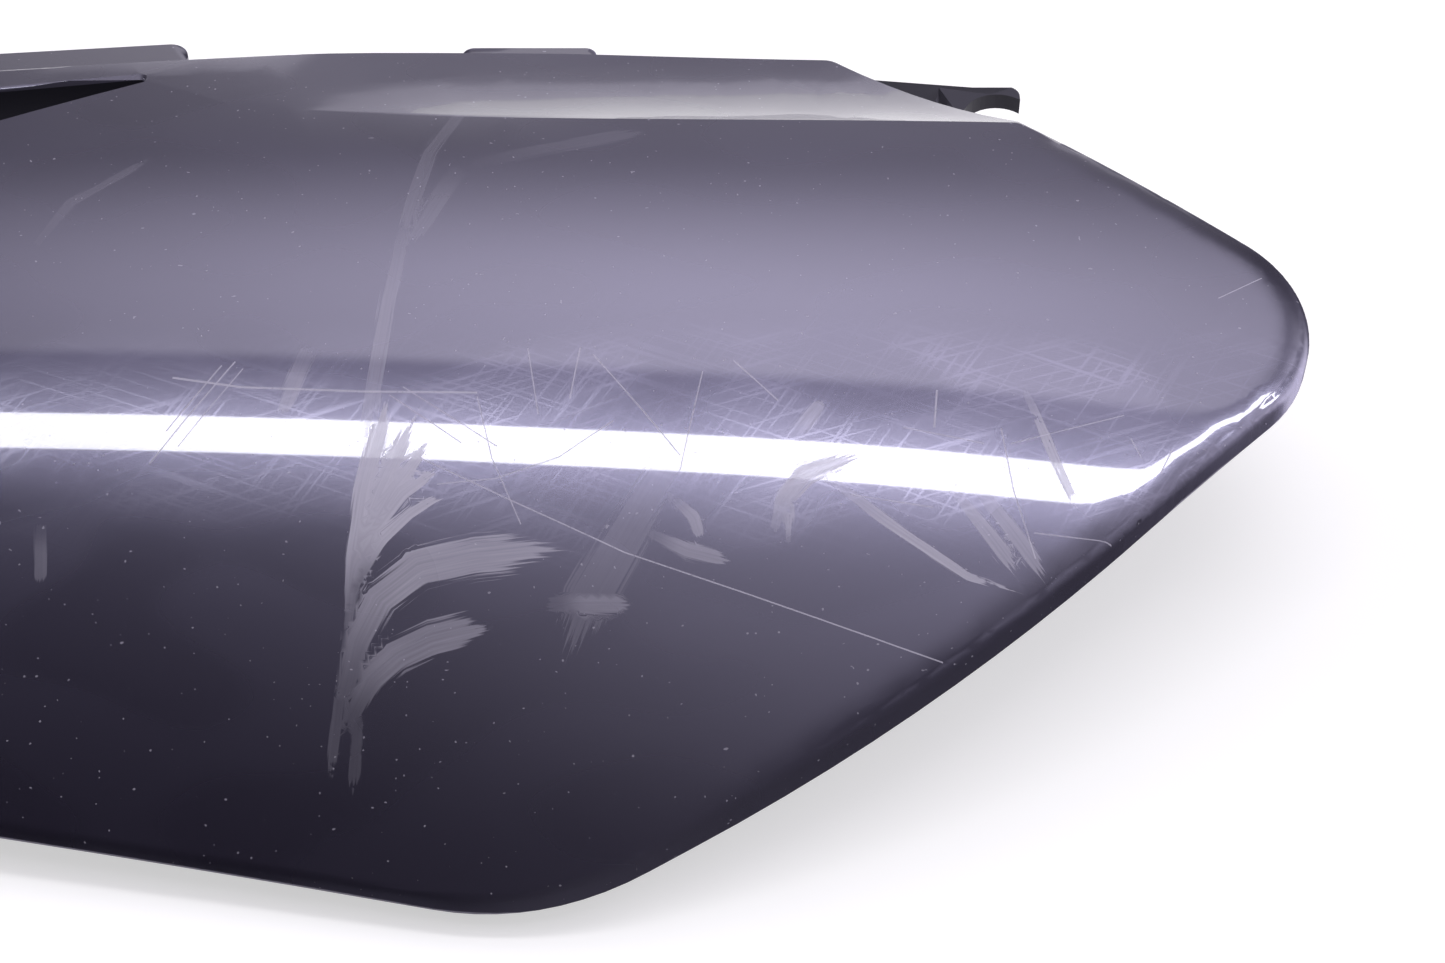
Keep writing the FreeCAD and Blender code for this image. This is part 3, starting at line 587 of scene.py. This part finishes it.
fine = 0.0
for angle, length, width in FINE_LINES:
    fine = lines(angle, length, width).step(*LINE_EDGE).math("MAXIMUM", fine)
far_way = Value(gloss, gloss.add("ShaderNodeSeparateXYZ", Vector=spot).outputs["Y"])
worn = far_way.step(*WORN_FROM) * far_way.step(*WORN_TO, 1.0, 0.0)
worn = worn * (1.0 - WORN_LEAST) + WORN_LEAST
cloud = lines(*CLOUD).step(*CLOUD_EDGE, CLOUD_LEAST, 1.0)
haze = cloud * worn * (fine * HAZE_LINES + HAZE_EVEN)

# Scratches: each has its width, and the points that it runs through, in millimetres
SCRATCHES = (
    (0.50, (-45, -8), (-29, -11), (-1, -13), (25, -14)),
    (0.35, (-31, -4), (-48, -30)),
    (0.35, (-34, -5), (-45, -22)),
    (0.25, (-29, -6), (-42, -26)),
    (0.30, (12, -30), (33, -41), (59, -54), (92, -66), (128, -79)),
    (0.30, (51, -4), (63, -20), (71, -31)),
    (0.25, (25, -15), (29, -31), (36, -47)),
    (0.30, (48, -2), (46, -16)),
    (0.25, (36, -2), (39, -20)),
    (0.25, (56, -22), (44, -31), (30, -36), (17, -37)),
    (0.25, (76, -9), (71, -35)),
    (0.30, (83, -6), (93, -17)),
    (0.30, (143, -24), (145, -40), (149, -56)),
    (0.25, (121, -24), (139, -28)),
    (0.25, (145, -28), (171, -20)),
    (0.40, (129, -14), (128, -24)),
    (0.25, (149, -50), (166, -52)),
    (0.25, (109, -41), (127, -44)),
    (0.40, (178, -35), (181, -29)),
    (0.25, (172, -26), (174, -31)),
    (0.25, (207, 22), (196, 15)),
    (0.25, (5, -14), (22, -27)),
    (0.25, (8, -12), (30, -28)),
)
CUT_BREAK = (0.2, 0.5)
CUT_LEAST = 0.5


def near(middle, axis, reach):
    """1 where a spot is within reach of a middle along one axis, and 0 elsewhere."""
    dot = gloss.add("ShaderNodeVectorMath", {"operation": "DOT_PRODUCT"}, Vector=spot)
    gloss.fill(dot.inputs[1], (*axis, 0.0))
    return Value(gloss, dot.outputs["Value"]).math("COMPARE", axis.dot(middle), reach)


cut = 0.0
for width, *line in SCRATCHES:
    for start, end in zip(line, line[1:]):
        start, end = Vector(start) * MM, Vector(end) * MM
        along = (end - start).normalized()
        middle = (start + end) / 2.0
        beside_line = near(middle, along.orthogonal(), width * MM / 2.0)
        cut = cut + beside_line * near(middle, along, (end - start).length / 2.0)
cut = (cut * streak.step(*CUT_BREAK, CUT_LEAST, 1.0)).math("MINIMUM", 1.0)

# What scatters light: the dust, the scratches and the specks. The rim's foot also gets a light grey
# line, a painted highlight for the light that the panel's thin edge catches
CUT_SHARE = 0.75
DUST_SHARE = 0.9
SPECK_SCALE = 1100.0
SPECK_EDGE = (0.83, 0.86)
SPECK_SHARE = 0.4
RIM_HIGHLIGHT_EDGE = (0.5, 0.9)
RIM_HIGHLIGHT_SHARE = 0.6
DULL_MOST = 0.9
SKIN_COLOUR = (0.014, 0.012, 0.020, 1.0)
SKIN_TINT = (0.72, 0.68, 1.0, 1.0)
SKIN_ROUGHNESS = 0.24
SKIN_PATCHES = 0.05
SKIN_IOR = 1.9
COAT_ROUGHNESS = 0.03
COAT_IOR = 1.6
HAZE_COLOUR = (0.50, 0.48, 0.62, 1.0)
HAZE_ROUGHNESS = 0.2
# The dust's grey, which also paints the light line at the rim's foot
DUST_AND_RIM_HIGHLIGHT_COLOUR = (0.48, 0.46, 0.52, 1.0)

speck = noise(gloss, spot, scale=SPECK_SCALE, kind="3D").step(*SPECK_EDGE, 0.0, SPECK_SHARE)
# Painted highlight: the bottom half millimetre of the rim's wall is mixed to light grey, fading out
# by 0.9 mm up
painted_rim_highlight = stored("foot").step(*RIM_HIGHLIGHT_EDGE, RIM_HIGHLIGHT_SHARE, 0.0)
dull_and_rim_highlight = (dust * DUST_SHARE + painted_rim_highlight + cut * CUT_SHARE + speck).math("MINIMUM", DULL_MOST)
skin = gloss.add(
    "ShaderNodeBsdfPrincipled",
    Base_Color=SKIN_COLOUR, Roughness=cloud * SKIN_PATCHES + SKIN_ROUGHNESS, IOR=SKIN_IOR,
    Specular_Tint=SKIN_TINT, Coat_Weight=1.0, Coat_Roughness=COAT_ROUGHNESS, Coat_IOR=COAT_IOR,
)
hazy = gloss.add("ShaderNodeBsdfAnisotropic", Color=HAZE_COLOUR, Roughness=HAZE_ROUGHNESS)
dust_and_rim_highlight_bsdf = gloss.add("ShaderNodeBsdfDiffuse", Color=DUST_AND_RIM_HIGHLIGHT_COLOUR)
finish = gloss.mix(dull_and_rim_highlight, gloss.mix(haze, skin, hazy), dust_and_rim_highlight_bsdf)
gloss.add("ShaderNodeOutputMaterial", Surface=finish.outputs[0])

# Satin: the same plastic from a duller part of the mould, on the ear and the hidden side
# and in the deep recess
GRIT_SCALE = 2200.0
GRIT_DETAIL = 1.0
GRIT_DEPTH = 0.06 * MM
GRIT_STRENGTH = 0.25
FLOW_SCALE = 45.0
FLOW_DETAIL = 2.0
FLOW_SHARE = 0.16
SATIN_COLOUR = (0.012, 0.012, 0.015, 1.0)
SATIN_TINT = (0.86, 0.82, 1.0, 1.0)
SATIN_ROUGHNESS = 0.42
SATIN_IOR = 1.5
EAR_PLACE = (105.0 * MM, 88.0 * MM)
SATIN_DEPTH = 9.5 * MM

unpolished = bpy.data.materials.new("satin_black_plastic")
satin = Shader(unpolished)
spot = satin.add("ShaderNodeTexCoord").outputs["Object"]
grit = noise(satin, spot, scale=GRIT_SCALE, detail=GRIT_DETAIL, kind="3D")
flow = noise(satin, spot, scale=FLOW_SCALE, detail=FLOW_DETAIL, kind="3D")
relief = satin.add("ShaderNodeBump", Strength=GRIT_STRENGTH, Distance=GRIT_DEPTH, Height=grit)
skin = satin.add(
    "ShaderNodeBsdfPrincipled",
    Base_Color=SATIN_COLOUR, Roughness=flow * FLOW_SHARE + SATIN_ROUGHNESS, IOR=SATIN_IOR,
    Specular_Tint=SATIN_TINT, Normal=relief.outputs[0],
)
satin.add("ShaderNodeOutputMaterial", Surface=skin.outputs[0])

mesh.materials.append(plastic)
mesh.materials.append(unpolished)
deep = np.zeros(len(mesh.polygons))
np.maximum.at(deep, corner_face, (powers(x, y) @ sheet - places[:, 2])[corner_vert])
past_ear = (face_middle[:, :2] > EAR_PLACE).all(axis=1) & (face_normal[:, 2] > 0.0)
is_satin = (face_region == PLAIN) & ((deep > SATIN_DEPTH) | past_ear)
mesh.polygons.foreach_set("material_index", is_satin.astype(np.int32))
